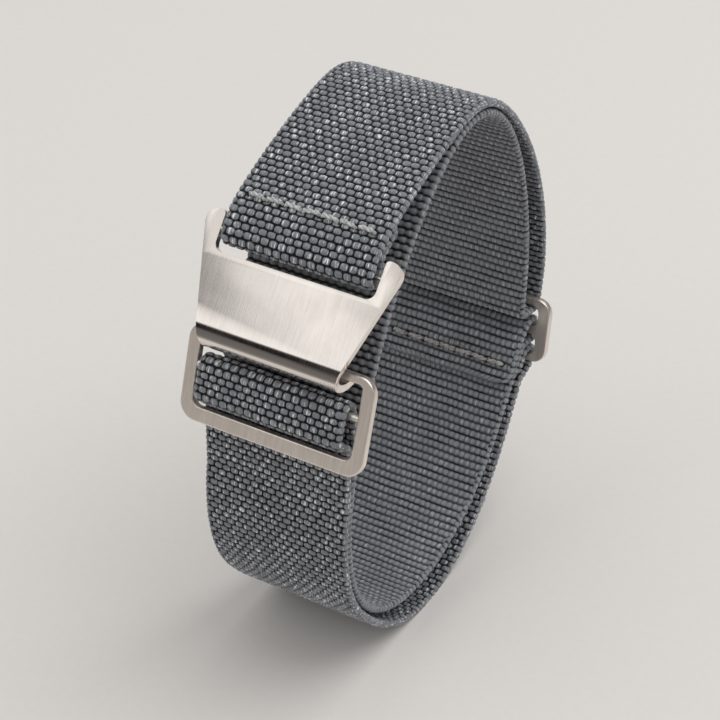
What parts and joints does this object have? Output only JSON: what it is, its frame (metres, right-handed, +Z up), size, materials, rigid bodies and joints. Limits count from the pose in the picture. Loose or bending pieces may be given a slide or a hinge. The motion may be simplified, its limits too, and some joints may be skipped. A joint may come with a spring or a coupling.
{
  "type": "stretch watch band",
  "caption": "Elastic webbing watch band: a double oval loop closed by a curled hook plate and a catch ring, with a sliding length adjuster at the back.",
  "frame": {"origin": "middle of the flat that the band stands on, under the middle of the webbing's width", "axes": "+X along the webbing's width, -Y towards the clasp, +Z up with the band standing as pictured"},
  "size_m": [0.0261, 0.0538, 0.069],
  "materials": {
    "webbing": "woven elastic, slate grey, matt with a faint yarn sheen",
    "thread": "twisted polyester sewing thread, light grey",
    "hook_steel": "satin stainless sheet",
    "ring_steel": "satin stainless sheet, slightly darker",
    "slider_steel": "satin stainless sheet, slightly darker"
  },
  "bodies": {
    "band": {"outer_upper_strap": "webbing", "inner_loop_strap": "webbing", "ring_strap": "webbing", "ring_stitching": "thread", "front_stretch_webbing": "webbing", "outer_upper_back_webbing": "webbing", "inner_upper_back_webbing": "webbing", "inner_lower_back_webbing": "webbing", "outer_lower_back_webbing": "webbing"},
    "hook_end": {"hook_fold": "webbing", "hook_stitching": "thread"},
    "hook": {"hook_plate": "hook_steel"},
    "ring": {"catch_ring": "ring_steel"},
    "slider_set": {"slider": "slider_steel", "slider_turn": "webbing", "slider_fold": "webbing", "slider_stitching": "thread", "lower_slider_fold": "webbing", "lower_fold_stitching": "thread"}
  },
  "joints": [
    {"name": "hook_stretch", "type": "slide", "parent": "band", "child": "hook_end", "axis": [0, -0.6388, -0.7694], "range_m": [0, 0.007], "stiffness_N_per_m": 400, "deforming": ["front_stretch_webbing"]},
    {"name": "hook_swing", "type": "hinge", "parent": "hook_end", "child": "hook", "pos_m": [0, -0.01417, 0.05832], "axis": [-1, 0, 0], "range_deg": [0, 30.2]},
    {"name": "ring_swivel", "type": "hinge", "parent": "band", "child": "ring", "pos_m": [0, -0.0208, 0.04377], "axis": [-1, 0, 0], "range_deg": [-3, 3]},
    {"name": "slider_adjust", "type": "slide", "parent": "band", "child": "slider_set", "axis": [0, 0.1478, 0.989], "range_m": [-0.005, 0.005], "deforming": ["outer_upper_back_webbing", "inner_upper_back_webbing", "inner_lower_back_webbing", "outer_lower_back_webbing"]}
  ],
  "couplings": [
    {"joint": "hook_swing", "follows": "hook_stretch", "rad_per_m": 74.8}
  ]
}
